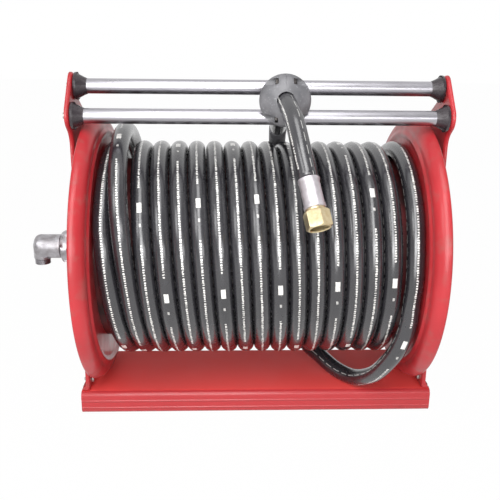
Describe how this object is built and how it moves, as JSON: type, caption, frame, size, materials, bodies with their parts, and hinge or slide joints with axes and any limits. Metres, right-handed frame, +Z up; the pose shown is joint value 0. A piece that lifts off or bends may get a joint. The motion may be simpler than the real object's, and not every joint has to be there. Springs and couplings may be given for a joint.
{
  "type": "fire hose reel",
  "caption": "Spring-rewind hose reel: drum with wound hose between two pedestals on a folded base, guide rollers, hose stop and swivel inlet.",
  "frame": {"origin": "middle of the base channel's footprint, on the floor; centre of the four anchor holes", "axes": "+X along the drum towards the spring side, -Y towards the side where the hose comes off, +Z up"},
  "size_m": [0.88, 0.6357, 0.722],
  "materials": {
    "red_paint": "glossy red enamel over pressed steel",
    "zinc_steel": "bright zinc plated",
    "dark_steel": "oiled black steel",
    "stainless": "drawn stainless tube",
    "black_nylon": "black moulded nylon, slight sheen",
    "brass": "machined brass",
    "nickel": "forged and nickel plated, dull",
    "satin_steel": "crimped steel ferrule, satin",
    "hose_rubber": "smooth black rubber hose cover with a dashed marking line",
    "stop_rubber": "weathered grey-green rubber",
    "seal_rubber": "black nitrile seal"
  },
  "bodies": {
    "frame": {"base_channel": "red_paint", "left_pedestal": "red_paint", "right_pedestal": "red_paint", "foot_brackets": "red_paint", "foot_bolts": "zinc_steel", "foot_nuts": "zinc_steel", "left_bearing_housing": "red_paint", "left_bearing_bush": "brass", "housing_bolts": "zinc_steel", "housing_nuts": "zinc_steel", "right_arbor": "dark_steel", "arbor_bolts": "zinc_steel", "arbor_nuts": "zinc_steel", "upper_roller_rod": "zinc_steel", "lower_roller_rod": "zinc_steel", "roller_rod_nuts": "zinc_steel", "pawl_pivot": "zinc_steel", "pawl_spring": "dark_steel", "hose_tail": "hose_rubber", "stop_left_half": "stop_rubber", "stop_right_half": "stop_rubber", "stop_bolts": "zinc_steel", "hose_ferrule": "satin_steel", "hose_nipple": "brass"},
    "drum": {"drum_core": "red_paint", "left_disc": "red_paint", "right_disc": "red_paint", "left_hub": "dark_steel", "right_hub": "dark_steel", "left_hub_bolts": "zinc_steel", "right_hub_bolts": "zinc_steel", "inlet_shaft": "stainless", "swivel_seals": "seal_rubber", "riser_pipe": "dark_steel", "outlet_elbow": "dark_steel", "spring_case": "dark_steel", "spring_case_cover": "dark_steel", "power_spring": "dark_steel", "ratchet_wheel": "dark_steel", "right_bearing_bush": "brass", "hose_winding": "hose_rubber"},
    "upper_roller": {"upper_roller_tube": "stainless", "upper_roller_bushes": "black_nylon"},
    "lower_roller": {"lower_roller_tube": "stainless", "lower_roller_bushes": "black_nylon"},
    "pawl": {"ratchet_pawl": "dark_steel"},
    "inlet": {"inlet_elbow": "nickel", "swivel_nut": "nickel"},
    "end_nut": {"hose_nut": "brass", "nut_washer": "seal_rubber"}
  },
  "joints": [
    {"name": "drum_turn", "type": "hinge", "parent": "frame", "child": "drum", "pos_m": [0, 0, 0.35], "axis": [1, 0, 0], "continuous": true},
    {"name": "upper_roller_turn", "type": "hinge", "parent": "frame", "child": "upper_roller", "pos_m": [0, -0.07, 0.694], "axis": [1, 0, 0], "continuous": true},
    {"name": "lower_roller_turn", "type": "hinge", "parent": "frame", "child": "lower_roller", "pos_m": [0, -0.114, 0.64], "axis": [1, 0, 0], "continuous": true},
    {"name": "inlet_swivel", "type": "hinge", "parent": "frame", "child": "inlet", "pos_m": [-0.44, 0, 0.35], "axis": [1, 0, 0], "continuous": true},
    {"name": "pawl_lift", "type": "hinge", "parent": "frame", "child": "pawl", "pos_m": [0.325, -0.07, 0.43], "axis": [1, 0, 0], "range_deg": [0, 25], "stiffness_Nm_per_rad": 0.05, "springref_deg": -20.05},
    {"name": "end_nut_turn", "type": "hinge", "parent": "frame", "child": "end_nut", "pos_m": [0.0838, -0.3162, 0.4989], "axis": [0.18, -0.52, -0.835], "continuous": true}
  ]
}
